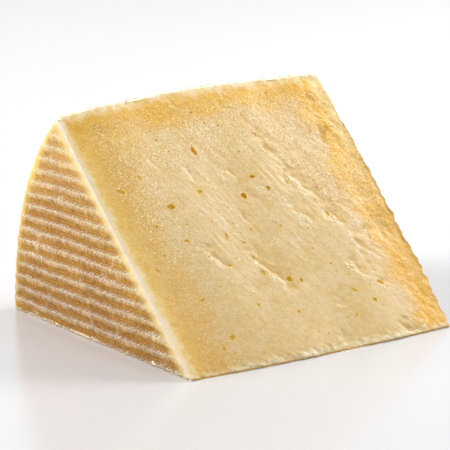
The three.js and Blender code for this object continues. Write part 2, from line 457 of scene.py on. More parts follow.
# A tear runs from its first point to its last. The ground drops on its far side, towards the far
# face where the tear runs down the cut, and rises to a lip on the other side.
Tear = namedtuple("Tear", "path drop reach")
TEARS = (
    Tear(((61.8, 80), (65.6, 77.2), (66.8, 72.8), (69.3, 67)), 0.45, 6),
    Tear(((69.3, 67), (71.5, 60), (76, 50.3), (79.3, 40.3)), 0.4, 7),
    Tear(((79.3, 41), (80.2, 35), (80.4, 28.5)), 0.55, 4),
    Tear(((46.8, 71.4), (49.3, 67), (50.4, 61.5)), 0.4, 3),
    Tear(((36.2, 74.8), (34.8, 68.7), (33.9, 64.2)), 0.4, 2.2),
    Tear(((46, 55), (45.2, 50.3), (46.2, 47.4)), 0.45, 2),
    Tear(((48.9, 57.5), (49.4, 51.5)), 0.25, 3),
    Tear(((25.6, 45.3), (27.3, 39.6), (31, 36.2)), 0.4, 4),
    Tear(((39.3, 41), (42.7, 35.2), (47.7, 27.8), (48.4, 21.5)), 0.4, 5),
    Tear(((33.9, 29.6), (36, 22.6)), 0.3, 3),
    Tear(((63.5, 57.4), (64.1, 51.5), (69.3, 43.5)), 0.3, 5),
    Tear(((72.5, 31), (76, 26), (79.6, 21.8)), 0.45, 3),
    Tear(((79.8, 21.5), (83.6, 18.4)), 0.4, 2.5),
    Tear(((60.6, 14.3), (63.4, 15.2), (66.2, 13.6)), 0.4, 1.6),
    Tear(((58.2, 8), (57.2, 1.4)), 0.3, 3),
    Tear(((79.8, 6.4), (80.8, 3.8), (82.2, -1.5)), 1.2, 2.5),
    Tear(((90.8, 38.2), (88.6, 42), (84, 41.4), (80, 42)), 0.3, 5),
    Tear(((40.6, 98), (41.4, 95.6), (41.2, 92.8)), 0.35, 1.5),
    Tear(((60.4, 97), (61.2, 93.6)), 0.35, 1.5),
    Tear(((22.6, 79), (24.6, 74), (27.4, 70.5)), 0.2, 3),
    Tear(((90.6, 80), (87, 72)), 0.5, 2.5),
)

# Shallow hollows of the cut face.
HOLLOWS = marks(
    (68.6, 64.5, 3.2, 8.5, -10, 0.55), (52.4, 58.6, 3.2, 3.0, 0, 0.3), (47.2, 31.5, 4.5, 9.0, 28, 0.4),
    (75.9, 47.5, 3.2, 6.0, 8, 0.45), (88.6, 75.5, 2.6, 11.0, -22, 0.4), (93.5, 40.5, 5.0, 8.0, -20, 0.45),
    (29.5, 37.5, 5.0, 3.0, -30, 0.25), (8.0, 31.0, 6.0, 9.0, 0, 0.25), (11.5, 89.0, 10.0, 6.0, 0, 0.25),
)

WANDER = 1.8  # mm that the outlines of tears, hollows and moist patches wander
TEAR_FADE = 3.5  # mm over which a tear starts and ends
CLIFF_WIDTH = 0.6  # mm over which its ground drops
LIP_PLACE, LIP_WIDTH = 0.8, 1.5  # mm from the drop to its lip, and the lip's width
FULL_DROP = 0.4  # mm: a deeper tear is no paler and no moister
STRIP_START = 87.5  # mm along the cut where the crumbled strip beside the far face starts
STREAK_LEAN = 0.32  # how far a streak runs towards the far face, for each mm up


def turned(along, up, mark):
    """Places as seen from a mark's middle, along its own two axes, with its edge at 1."""
    turn = math.radians(mark.turn)
    a, b = along - mark.along, up - mark.up
    across = (a * math.cos(turn) + b * math.sin(turn)) / (mark.width / 2)
    upright = (b * math.cos(turn) - a * math.sin(turn)) / (mark.height / 2)
    return across, upright


def torn_share(along, up):
    """0 on the smooth core that the knife cut, 1 on the rough side where the paste tore."""
    edge = 82 - 18 * (np.maximum(0, up - 25) / 55) ** 1.6
    right = smoothstep(-1.5, 3, along - edge)
    top = 0.55 * smoothstep(84, 92, up)
    left = 0.4 * smoothstep(30, 12, along) * smoothstep(35, 60, up)
    return np.clip(np.maximum(right, np.maximum(top, left)), 0, 1)


def broken_share(along, up):
    """1 on the crumbled strip beside the far face."""
    wobble = 2 * np.sin(up / 6.1) + np.sin(up / 2.7)
    return smoothstep(0, 7, along - STRIP_START + wobble) * smoothstep(-2, 12, up)


def tear_marks(along, up, tear):
    """One tear's relief, its whitish torn lip and the moist ground below it, whose colour is partly painted
    shade.
    """
    path = np.array(tear.path, float)
    best = np.full(along.shape, np.inf)
    signed, ends = np.zeros((2, *along.shape))
    stretches = np.linalg.norm(np.diff(path, axis=0), axis=1)
    total, before = stretches.sum(), 0.0
    for start, end, stretch in zip(path, path[1:], stretches):
        step = (end - start) / stretch
        a, b = along - start[0], up - start[1]
        run = np.clip(a * step[0] + b * step[1], 0, stretch)
        gap = np.hypot(a - run * step[0], b - run * step[1])
        side = np.sign(step[0] * b - step[1] * a)
        closer = gap < best
        best = np.where(closer, gap, best)
        signed = np.where(closer, side * gap, signed)
        ends = np.where(closer, np.minimum(before + run, total - before - run), ends)
        before += stretch
    fade = smoothstep(0, min(TEAR_FADE, total / 2), ends)
    cliff = 0.5 + 0.5 * np.tanh(signed / CLIFF_WIDTH)
    ground = fade * cliff * np.exp(-best / tear.reach)
    lip = fade * np.exp(-(((signed + LIP_PLACE) / LIP_WIDTH) ** 2))
    height = -1.1 * tear.drop * ground
    strength = min(1, tear.drop / FULL_DROP)
    return height, strength * lip, strength * ground * smoothstep(0, 1.2, best)


def cut_marks(points, skin):
    """The relief of all tears and hollows, and how whitish and how moist they leave the paste. The moist
    share also carries painted shade, and along the streaks the whitish share carries painted light.
    """
    along, up = skin.on_cut(points)
    place, drawn = flat(along, up), streaks(along, up)
    along = along + WANDER * fractal(place, 3.0, 4, 4)
    up = up + WANDER * fractal(place, 3.0, 5, 4)
    uneven = np.clip(0.7 + 0.9 * fractal(place, 3.1, 6, 3), 0.0, 1.3)
    broken_up = fractal(place, 4.2, 9, 2)
    height, dry, moist = np.zeros((3, len(points)))
    for tear in TEARS:
        raised, lip, ground = tear_marks(along, up, tear)
        height += raised * np.clip(0.75 + 1.1 * broken_up, 0.15, 1.2)
        dry = np.maximum(dry, lip * uneven)
        moist = np.maximum(moist, ground)
    for hollow in HOLLOWS:
        across, upright = turned(along, up, hollow)
        dip = np.exp(-(across**2 + upright**2))
        height -= hollow.depth * dip
        moist = np.maximum(moist, min(1, hollow.depth / 0.5) * dip)
    for eye in EYES:
        across, upright = turned(along, up, eye)
        moist = np.maximum(moist, 0.6 * np.exp(-(across**2 + upright**2) / 4))
    # Painted light and shade along the drawn streaks: whitish on one side, golden on the other.
    dry = np.maximum(dry, 0.65 * smoothstep(0.1, 0.42, drawn) * uneven)
    moist = np.maximum(moist, 0.6 * smoothstep(-0.1, -0.45, drawn))
    return height, dry, moist


def streaks(along, up):
    """Fine drawn-out streaks down the cut, -1 to 1, strongest in its upper middle."""
    drawn = flat(along - STREAK_LEAN * (96 - up), 0.16 * up)
    share = smoothstep(20, 34, along) * smoothstep(84, 66, along)
    share = share * smoothstep(22, 45, up) * smoothstep(93, 82, up)
    return share * fractal(drawn, 1.5, 8, 3)


def cut_height(points, skin, relief):
    """The relief of the upper cut face, outwards, in mm."""
    along, up = skin.on_cut(points)
    place = flat(along, up)
    torn = torn_share(along, up)
    broken = broken_share(along, up)
    waves = np.sin(along / 7.3 + up / 31) + 0.6 * np.sin(along / 4.1 - up / 17)
    height, dry, _ = cut_marks(points, skin)
    height -= relief.wave_height / MM * waves
    grain = relief.core_grain / MM + torn * (relief.rough_grain - relief.core_grain) / MM
    height += (grain + 0.13 * dry) * (fractal(place, 1.1, 1, 2) + 0.5 * lumps(place, 1.3, 7))
    height += (0.05 + 0.05 * torn) * fractal(place * (1, 0.6, 1), 5, 2, 3)
    height += 0.06 * streaks(along, up)
    clods = 0.35 * broken * lumps(place * (1, 0.7, 1), 4.5, 3) + 0.15 * broken * lumps(place, 1.9, 28)
    return height + (clods - relief.break_depth / MM * broken)


# ---- marks on the rind


RIDGE_FAN = 0.0011  # how much the ridges spread towards the nose, for each mm
FAN_MIDDLE = 70.0  # how far from the wheel's axis the ridges have their true pitch
FIRST_GROOVE = 1.9  # how far up the lowest groove lies
FACE_TOP = 0.5  # where a ridge's face reaches its full height, as a share of the way up from its groove
LIP = 0.66  # where the face ends in its lip and the shelf above it starts
STROKE_PITCH = 1.4  # mm from one of the cloth's strokes to the next
STROKE_LEAN = 1.25  # how far a stroke runs towards the nose, for each mm up
ROW_WIDTH = 12.0  # width of one row of the plaited band's strands
STRAND_LEAN = 0.9  # how far a strand leans round the wheel, for each mm across its row


def ridge_climb(points, relief):
    """How far up a point lies, counted in ridges. It is a whole number at each groove."""
    y, z = points[:, 1], points[:, 2]
    sway = 0.45 * fractal(points * (0.3, 1, 1), 17, 11, 2) + 0.2 * fractal(points, 3.4, 12, 2)
    spread = z / (1 - RIDGE_FAN * (y - FAN_MIDDLE)) + sway
    return (spread - FIRST_GROOVE) * MM / relief.ridge_pitch


def ridge_height(points, relief):
    """The relief of a flat face: long ridges that lean out to a lip, with a shelf above each lip."""
    phase = ridge_climb(points, relief) % 1
    face = smoothstep(0, FACE_TOP, phase)
    shelf = np.clip((1 - phase) / (1 - LIP), 0, 1) ** 1.3
    uneven = 0.85 + 0.3 * fractal(points, 9, 13, 2)
    rough = 0.12 * fractal(points, 2.4, 14, 3) + 0.07 * fractal(points * (1, 2.2, 1), 1.4, 17, 2)
    return relief.ridge_depth / MM * uneven * (face * shelf - 1) + rough


def strand_share(points, skin, relief):
    """The plaited band round the wheel: 1 on top of a strand, 0 between strands and between rows."""
    around = skin.radius * np.arctan2(points[:, 2], points[:, 1])
    along = points[:, 0] + 0.8 * fractal(points, 14, 15, 2)
    across = (along / ROW_WIDTH) % 1 - 0.5
    lean = np.where((along // ROW_WIDTH) % 2 == 0, STRAND_LEAN, -STRAND_LEAN)
    strand = ((around + lean * across * ROW_WIDTH) * MM / relief.strand_pitch) % 1
    rounded = np.sqrt(np.maximum(0, hump(strand)))
    return rounded * smoothstep(0.5, 0.38, np.abs(across))


def plait_height(points, skin, relief):
    """The relief of the curved side, where the plaited band was pressed into it."""
    share = strand_share(points, skin, relief)
    return relief.strand_depth / MM * (share - 1) + 0.12 * fractal(points, 2.5, 16, 3)


# ---- the wedge


# About how far apart the mesh's points are on each part of the skin, in mm.
Steps = namedtuple("Steps", "level cut near far side base")
STEPS = Steps(level=0.53, cut=0.54, near=0.55, far=1.2, side=0.95, base=3.0)
EYE_SEED, CRUMB_SEED = 7, 11
PINHOLE_AREA = (4, 95), (4, 96)  # mm along and up the cut
PINHOLE_WIDTHS = 0.5, 0.9  # mm
EYE_GAP = 3.2  # mm from the middle of a pinhole to the next eye, at least
EYE_STRETCH = Vector((0.42, 0.42, 0.75))  # an eye's body, in its mark's widths, heights and depths
EYE_SINK = 0.15  # how far below the ground the body's middle lies, in its mark's depths
SIDE_STAND, FAR_STAND = 0.6, 0.8  # mm that the relief stands out from the curved side and the far face
SHARP = math.radians(55)  # a sharper edge of the mesh isn't smoothed

# A triangle lies on a side of the wedge if it is this near to it, in mm, and looks out of it this
# squarely.
RIND_DEPTH, BASE_DEPTH = 2.5, 0.02
END_FACING, CUT_FACING, BASE_FACING = 0.75, 0.62, 0.9


def on_near_edge(points, skin):
    """1 within a few millimetres of the near face's own plane, 0 elsewhere."""
    return smoothstep(2.5, 1.0, points[:, 0] + skin.half)


def shape_wedge(skin, rind, cut):
    """The wedge's points and triangles with all relief but the eyes."""
    shell = Shell(skin, STEPS)
    points, normals = shell.points, shell.normals()
    radial = points * (0, 1, 1) / np.maximum(1, from_axis(points))[:, None]

    def facing(amount):
        return smoothstep(0.45, 0.9, amount)

    on_cut = facing(normals @ skin.cut_way)
    on_near = facing(-normals[:, 0])
    on_far = facing(normals[:, 0])
    on_side = facing((normals * radial).sum(1)) * (1 - on_near) * (1 - on_far)
    on_side[normals[:, 2] < -0.5] = 0
    height = np.zeros(len(points))

    def add(weight, relief_of):
        chosen = weight > 0
        height[chosen] += weight[chosen] * relief_of(points[chosen])

    add(on_cut, lambda p: cut_height(p, skin, cut))
    under_cut, under_side = points @ -skin.cut_way, skin.under_side(points)
    near_cut = 0.15 + 0.85 * smoothstep(0, 5, under_cut)
    pressed = (0.25 + 0.75 * smoothstep(0, 6, under_side)) * near_cut
    for on_end in (on_near, on_far):
        add(on_end * pressed, lambda p: ridge_height(p, rind))
    add(on_side, lambda p: plait_height(p, skin, rind))
    near_crest = smoothstep(3, 0, np.abs(under_side)) * smoothstep(4, 0, np.abs(under_cut))
    add(near_crest, lambda p: 0.34 * fractal(p, 1.3, 21, 3) + 0.2 * fractal(p * (1, 0.2, 0.2), 6, 22, 2))
    near_nose = smoothstep(4, 0, points[:, 2]) * smoothstep(6, 0, points[:, 1])
    add(near_nose, lambda p: 0.25 * fractal(p, 1.6, 23, 3) + 0.3 * lumps(p, 2.4, 29) - 0.1)
    moved = points + normals * height[:, None]

    far_edge = smoothstep(5, 0, skin.half - points[:, 0]) * smoothstep(5, 0, under_cut)
    chosen = far_edge > 0
    places = points[chosen] * (0, 1, 1)
    ragged = 0.5 * fractal(places, 6.5, 24, 3) + 0.5 * fractal(places, 1.3, 25, 2)
    moved[chosen, 0] += far_edge[chosen] * (ragged + 0.6 * lumps(places, 3.6, 30) - 0.2)

    near_hem = smoothstep(1.6, 0, points[:, 2]) * on_near_edge(points, skin)
    chosen = near_hem > 0
    flakes = 0.45 * lumps(points[chosen], 2.3, 26) + 0.3 * fractal(points[chosen], 0.9, 27, 2)
    moved[chosen, 0] -= near_hem[chosen] * flakes
    tucked = smoothstep(0.7, 0.0, points[:, 2]) * on_near_edge(points, skin)
    moved[:, 0] += 0.5 * tucked
    moved[:, 1] += 0.3 * smoothstep(0.6, 0.0, points[:, 2]) * smoothstep(4, 2, points[:, 1])
    moved[shell.points[:, 2] < 1e-9, 2] = 0
    moved[:, 2] = np.maximum(moved[:, 2], 0)
    return moved, shell


def eye_cutters(skin, pinholes, points):
    """One mesh of irregular rounded bodies that hollow out the eyes of the cut face."""
    rng = random.Random(EYE_SEED)
    eyes = list(EYES)
    while len(eyes) < len(EYES) + pinholes:
        along, up = (rng.uniform(*span) for span in PINHOLE_AREA)
        if min(math.hypot(along - mark.along, up - mark.up) for mark in eyes) > EYE_GAP:
            size = rng.uniform(*PINHOLE_WIDTHS)
            height, turn = size * rng.uniform(0.8, 1.6), rng.uniform(-40, 40)
            eyes.append(Mark(along, up, size, height, turn, 0.45 * size))
    cutters = bmesh.new()
    rightward = Vector((1, 0, 0))
    upward = Vector((0, math.cos(skin.angle), math.sin(skin.angle)))
    outward = rightward.cross(upward)
    surface = KDTree(len(points))
    for number, point in enumerate(points):
        surface.insert(point, number)
    surface.balance()
    for number, mark in enumerate(eyes):
        middle = Vector((mark.along - skin.half, 0, 0)) + upward * mark.up
        for _ in range(2):  # the second time from the ground that the first one found
            ground = np.mean([near[0] for near in surface.find_n(middle, 6)], axis=0)
            middle += outward * (Vector(ground) - middle).dot(outward)
        middle -= outward * EYE_SINK * mark.depth
        body = bmesh.ops.create_icosphere(cutters, subdivisions=3 if mark.width > 1 else 2, radius=1)
        lean = Matrix.Rotation(math.radians(mark.turn), 3, "Z")
        stretch = Matrix.Diagonal(EYE_STRETCH * Vector((mark.width, mark.height, mark.depth)))
        for vertex in body["verts"]:
            rough = 1.08 + 0.42 * noise.fractal(vertex.co * 1.3 + Vector((number * 3.1, 0, 0)), 1.0, 2.0, 2)
            local = lean @ (stretch @ (vertex.co * rough))
            vertex.co = (middle + rightward * local.x + upward * local.y + outward * local.z) * MM
    mesh = bpy.data.meshes.new("eye_cutters")
    cutters.to_mesh(mesh)
    cutters.free()
    return mesh


def mark_surface(mesh, skin, rind, shift):
    """Stores, at each point, what the finishes need to know about its place."""
    points = read(mesh.vertices, "co", 3) / MM - shift
    along, up = skin.on_cut(points)
    far_depth = skin.height + FAR_STAND - along
    side_depth = skin.wheel_radius(points[:, 0]) + SIDE_STAND - up
    under_cut = skin.under_cut(points)
    on_end = smoothstep(3.5, 0.5, np.minimum(along, far_depth))
    _, dry, moist = cut_marks(points, skin)
    on_cut = smoothstep(3.5, 2, under_cut)
    values = {
        "near_depth": along,
        "far_depth": far_depth,
        "crest_depth": side_depth,
        "cut_depth": under_cut,
        "up": up,
        "torn": torn_share(along, up),
        "dry": dry * on_cut,
        "moist": moist * on_cut,
        "climb": ridge_climb(points, rind),
        "pressed": on_end * smoothstep(1, 5, side_depth) * smoothstep(0.5, 5, under_cut),
        "strand": strand_share(points, skin, rind),
    }
    for name, value in values.items():
        mesh.attributes.new(name, "FLOAT", "POINT").data.foreach_set("value", value.astype(np.float32))


def rind_faces(mesh, skin, shift):
    """1 for the triangles of the rind and 0 for those of the paste."""
    normal = read(mesh.polygons, "normal", 3)
    middle = read(mesh.polygons, "center", 3) / MM - shift
    under_cut, end_depth = skin.under_cut(middle), skin.half - np.abs(middle[:, 0])
    on_side = skin.under_side(middle) < RIND_DEPTH
    on_end = (np.abs(normal[:, 0]) > END_FACING) & (end_depth < RIND_DEPTH)
    on_base = (middle[:, 2] < BASE_DEPTH) & (normal[:, 2] < -BASE_FACING)
    on_cut = (under_cut < RIND_DEPTH) & (normal @ skin.cut_way > CUT_FACING)
    return ((on_side | on_end) & ~on_base & ~on_cut).astype(np.int32)


# ---- crumbs


def crumb_seats(mesh, count, rng):
    """Where crumbs sit on the wedge, which way is out, and how proud of it they stand.

    Most lie along the crest. The rest lie along the nose and in the torn paste.
    """
    first = read(mesh.loops, "vertex_index", kind=np.int32)[read(mesh.polygons, "loop_start", kind=np.int32)]
    area, middle = read(mesh.polygons, "area"), read(mesh.polygons, "center", 3)

    def stored(name):
        return read(mesh.attributes[name].data, "value", kind=np.float32)[first]

    def edge(depth, width):
        return np.exp(-((np.maximum(0, depth) / width) ** 1.5))

    crest, cut = stored("crest_depth"), stored("cut_depth")
    on_cut = smoothstep(2.5, 0.8, cut)
    paste = edge(crest, 1.1) + 0.3 * edge(stored("up"), 1.3) + 0.1 * stored("dry") ** 2
    rind = 0.5 * edge(crest, 1.0) * smoothstep(9, 1, cut)
    weight = (on_cut * paste + (1 - on_cut) * rind) * area * (middle[:, 2] > 0.6 * MM)
    chosen = rng.choice(len(area), count, p=weight / weight.sum())
    proud = 0.8 * edge(crest, 1.4) - 0.55
    return middle[chosen], read(mesh.polygons, "normal", 3)[chosen], proud[chosen]


def crumb_bodies(seats, rise, sizes, rng):
    """Points and triangles of small uneven bodies, each sunk into its seat."""
    ball = bmesh.new()
    bmesh.ops.create_icosphere(ball, subdivisions=2, radius=1)
    form = np.array([vertex.co for vertex in ball.verts])
    faces = np.array([[vertex.index for vertex in face.verts] for face in ball.faces])
    ball.free()
    count = len(seats)
    turns, _ = np.linalg.qr(rng.normal(size=(count, 3, 3)))
    stretch = rng.uniform(0.65, 1.25, (count, 1, 3))
    rough = rng.uniform(0.8, 1.2, (count, len(form), 1))
    bodies = (form * rough * stretch) @ turns * sizes[:, None, None]
    bodies = bodies + (seats + rise * sizes[:, None])[:, None, :]
    numbers = faces + len(form) * np.arange(count)[:, None, None]
    flipped = np.linalg.det(turns) < 0
    numbers[flipped] = numbers[flipped][:, :, ::-1]
    return bodies.reshape(-1, 3), numbers.reshape(-1, 3)


# ---- finishes


def arithmetic(operation):
    """A wire's method that works it out with a number or another wire."""
    return lambda wire, other: wire.nodes.math(operation, wire, other)


class Wire:
    """One output of a node. Wires are added, multiplied and so on as numbers are."""

    __add__, __sub__ = arithmetic("ADD"), arithmetic("SUBTRACT")
    __mul__, __truediv__ = arithmetic("MULTIPLY"), arithmetic("DIVIDE")

    def __init__(self, nodes, socket):
        self.nodes, self.socket = nodes, socket

    def __rsub__(self, other):
        return self.nodes.math("SUBTRACT", other, self)


class Nodes:
    """Builds one material's nodes. An input is a value, a colour or a wire."""

    def __init__(self, name, tone):
        self.material = bpy.data.materials.new(name)
        self.material.use_nodes = True
        self.tree = self.material.node_tree
        self.tree.nodes.clear()
        self.tone = tone
        where = self.add("ShaderNodeTexCoord", {}, "Object")
        self.place = self.vector("SCALE", where, Scale=1 / MM)

    def add(self, kind, inputs, *outputs, **settings):
        """Adds a node. Returns the wires of the outputs that are named, or of the first one."""
        node = self.tree.nodes.new(kind)
        for name, value in settings.items():
            setattr(node, name, value)
        for name, value in inputs.items():
            socket = node.inputs[name]
            if isinstance(value, Wire):
                self.tree.links.new(value.socket, socket)
            elif socket.type == "RGBA":
                socket.default_value = (*value, 1.0)
            else:
                socket.default_value = value
        wires = [Wire(self, node.outputs[output]) for output in outputs or (0,)]
        return wires if len(wires) > 1 else wires[0]

    def math(self, operation, *inputs):
        return self.add("ShaderNodeMath", dict(enumerate(inputs)), operation=operation)

    def most(self, a, b):
        return self.math("MAXIMUM", a, b)

    def vector(self, operation, *inputs, **named):
        inputs = {**dict(enumerate(inputs)), **named}
        return self.add("ShaderNodeVectorMath", inputs, operation=operation)

    def fit(self, value, low, high, to_low=0.0, to_high=1.0):
        """Leads smoothly from one value, at the low input, to another, at the high input."""
        inputs = {"Value": value, "From Min": low, "From Max": high, "To Min": to_low, "To Max": to_high}
        return self.add("ShaderNodeMapRange", inputs, interpolation_type="SMOOTHSTEP")

    def stored(self, *names):
        """What mark_surface stored at each point, by its names."""
        wires = [self.add("ShaderNodeAttribute", {}, "Fac", attribute_name=name) for name in names]
        return wires if len(wires) > 1 else wires[0]

    def noise(self, size, detail=2.0, roughness=0.5, place=None):
        inputs = {"Vector": place or self.place, "Scale": 1 / size, "Detail": detail, "Roughness": roughness}
        return self.add("ShaderNodeTexNoise", inputs, "Fac")

    def mix(self, share, a, b):
        """The colour a where the share is 0, and b where it is 1."""
        return self.add("ShaderNodeMix", {0: share, 6: a, 7: b}, 2, data_type="RGBA")

    def paint(self, colour, share):
        """Covers the material's tone with a colour, as far as the share says."""
        self.tone = self.mix(share, self.tone, colour)

    def tint(self, share, most, least=(1, 1, 1)):
        """Multiplies the material's tone by one colour where the share is 1 and by another where it is 0."""
        self.tone = self.vector("MULTIPLY", self.tone, self.mix(share, least, most))

    def bump(self, height, distance):
        return self.add("ShaderNodeBump", {"Height": height, "Distance": distance, "Strength": 1.0})

    def finish(self, **inputs):
        """Gives the material its surface, in the tone that has been reached, and returns it."""
        inputs = {name.replace("_", " "): value for name, value in inputs.items()}
        surface = self.add("ShaderNodeBsdfPrincipled", {"Base Color": self.tone, **inputs})
        output = self.tree.nodes.new("ShaderNodeOutputMaterial")
        self.tree.links.new(surface.socket, output.inputs["Surface"])
        return self.material


SUBSURFACE = {
    "Subsurface_Weight": 0.1,
    "Subsurface_Radius": (1.0, 1.0, 1.0),
    "Subsurface_Scale": 0.6 * MM,
}


def paste_material(finish):
    """The cut paste: pale in the core, golden towards the rind, with bright grains and painted glints."""
    n = Nodes("cheese_paste", finish.core)
    near, far, crest, up, torn = n.stored("near_depth", "far_depth", "crest_depth", "up", "torn")
    drift = n.fit(n.noise(9, 3), 0.3, 0.7, -2.5, 2.5)
    ripple = n.fit(n.noise(2.6, 4, 0.6), 0.3, 0.7, -1.6, 1.6)

    def band(depth, start, end, most=1.0):
        """The share of a band along one edge: its most up to the start, and 0 from the end on."""
        return n.fit(depth + drift, start, end, most, 0.0)

    patch = n.fit(n.noise(11, 3), 0.35, 0.6, 0.2, 1.0)
    n.paint(finish.blush, patch * torn)
    n.paint(finish.ochre_and_contact_shade, band(near + crest * 0.55, 16, 50, 0.9))
    n.paint(finish.ochre_and_contact_shade, band(near, 9, 22, 0.85))
    n.paint(finish.near_band, n.fit(near + ripple, 9, 3))
    n.paint(finish.crest_band, band(crest, 12, 28, 0.25))
    n.paint(finish.crest_band, band(crest, 8, 16))
    blob = n.fit(n.noise(7, 1), 0.42, 0.52, 0.8, 1.0)
    # Partly golden paste, partly painted glow beside the far face.
    n.paint(finish.far_band_and_glow, band(far, 8.5, 14.5) * blob)
    # Painted light and shade: the paste is tinted darker towards the nose and its lower corner by the near
    # face, and lighter high on the cut away from the near face, as the light falls off across it.
    n.tint(n.fit(up, 45, 2) * n.fit(near, 70, 15), (0.97, 0.95, 0.90))
    n.tint(n.fit(up, 45, 5), (1.0, 0.97, 0.91))
    n.tint(n.fit(up, 40, 80) * n.fit(near, 10, 30), (1.07, 1.07, 1.11))
    # Moist paste and painted shade: the hollow colour where tears, hollows, eyes and streaks leave the paste
    # darker.
    n.paint(finish.hollow, n.stored("moist") * 0.9)
    for size, change in ((5.0, (0.02, 0.05, 0.17)), (1.6, (0.03, 0.05, 0.10)), (0.6, (0.06, 0.07, 0.12))):
        mottle = n.fit(n.noise(size, 3, 0.6), 0.3, 0.7)
        n.tint(mottle, [1 + part for part in change], [1 - part for part in change])

    bare = n.fit(up, 75, 8) * 0.3 + 1.0
    inset = (near + ripple * 0.5) / bare
    n.paint(finish.edge, n.fit(inset, 0.3, 3.4, 0.8, 0.0))
    # Partly the dry edge, partly painted light: paler beside the far face, most towards the crest.
    n.paint(finish.edge, n.fit(far + ripple, 6.0, 0.8) * n.fit(up, 55, 95, 0.12, 0.5))
    n.paint(finish.edge, n.fit(crest + ripple * 0.7, 0.5, 7.0, 0.9, 0.0))
    flakes = n.fit(n.noise(1.0, 4, 0.7), 0.42, 0.56, 0.15, 1.0)
    # Dried lip and painted highlight: the rim colour along the crest.
    n.paint(finish.rim, n.fit(crest + ripple * 0.4, 0.2, 2.4, 0.8, 0.0) * flakes)
    n.tint(n.fit(crest + ripple, 5.5, 0.8), (0.98, 1.05, 1.4))
    crumb = n.fit(n.noise(0.6, 3, 0.65), 0.42, 0.58)
    n.paint(finish.dry, n.fit(n.stored("dry") * crumb, 0.1, 0.9, 0.0, 0.5))

    inside = n.math("MINIMUM", n.fit(near, 4, 11), n.fit(crest, 4, 9))
    outer = n.most(n.fit(near, 38, 18), n.most(n.fit(crest, 42, 22), torn))
    rich = n.most(inside * outer * n.fit(up, 25, 60, 0.3, 0.75), n.stored("dry"))
    slant = {"Vector": n.place, "Axis": (0, -0.68, 0.73), "Angle": math.radians(-18)}
    drawn = n.vector("MULTIPLY", n.add("ShaderNodeVectorRotate", slant), (1, 0.7, 0.7))
    grit = n.noise(0.42, 2, 0.6, drawn)
    n.tint(rich * n.fit(grit, 0.48, 0.36), (0.79, 0.73, 0.60))
    # Bright grains with painted glints.
    speck_and_glint = n.fit(grit + rich * 0.14, 0.64, 0.76)
    n.paint(finish.speck_and_glint, speck_and_glint * 0.75)
    worn = n.fit(n.noise(1.3, 4, 0.65), 0.25, 0.5, 0.4, 1.0)
    frayed = n.fit(n.noise(0.9, 3, 0.7), 0.35, 0.65, -0.8, 0.8)
    # Dried lip and painted highlight: the rim colour along the near edge.
    n.paint(finish.rim, n.fit(inset + frayed, 1.25, -0.3) * worn)
    hem = n.fit(up + ripple * 0.5, 3.0, 1.0) * worn
    n.paint(finish.dry, hem * n.fit(n.noise(6, 2), 0.4, 0.6, 0.3, 0.9))
    # Painted contact shade: ochre over the paste's lowest millimetre, where it meets the table.
    high = n.add("ShaderNodeSeparateXYZ", {0: n.place}, "Z")
    n.paint(finish.ochre_and_contact_shade, n.fit(high, 0.9, 0.3, 0.0, 0.85))

    grain, hue = n.add("ShaderNodeTexVoronoi", {"Vector": n.place, "Scale": 1 / 0.6}, "Distance", "Color")
    chance = n.add("ShaderNodeSeparateColor", {0: hue}, 1)
    granular = n.fit(grain, 0.6, 0) * chance * n.fit(torn, 0, 1, 0.05, 0.4)
    fine = n.noise(0.8, 4, 0.6) * 0.45
    rough = (granular + fine) * n.fit(near, 4, 12, 0.25, 1.0)
    return n.finish(
        Roughness=n.fit(n.noise(1.2, 2), 0.3, 0.7, 0.25, 0.5),
        IOR=n.fit(speck_and_glint, 0.1, 0.8, 1.25, 1.5),
        Normal=n.bump(rough + speck_and_glint * 0.3, 0.16 * MM),
        **SUBSURFACE,
    )


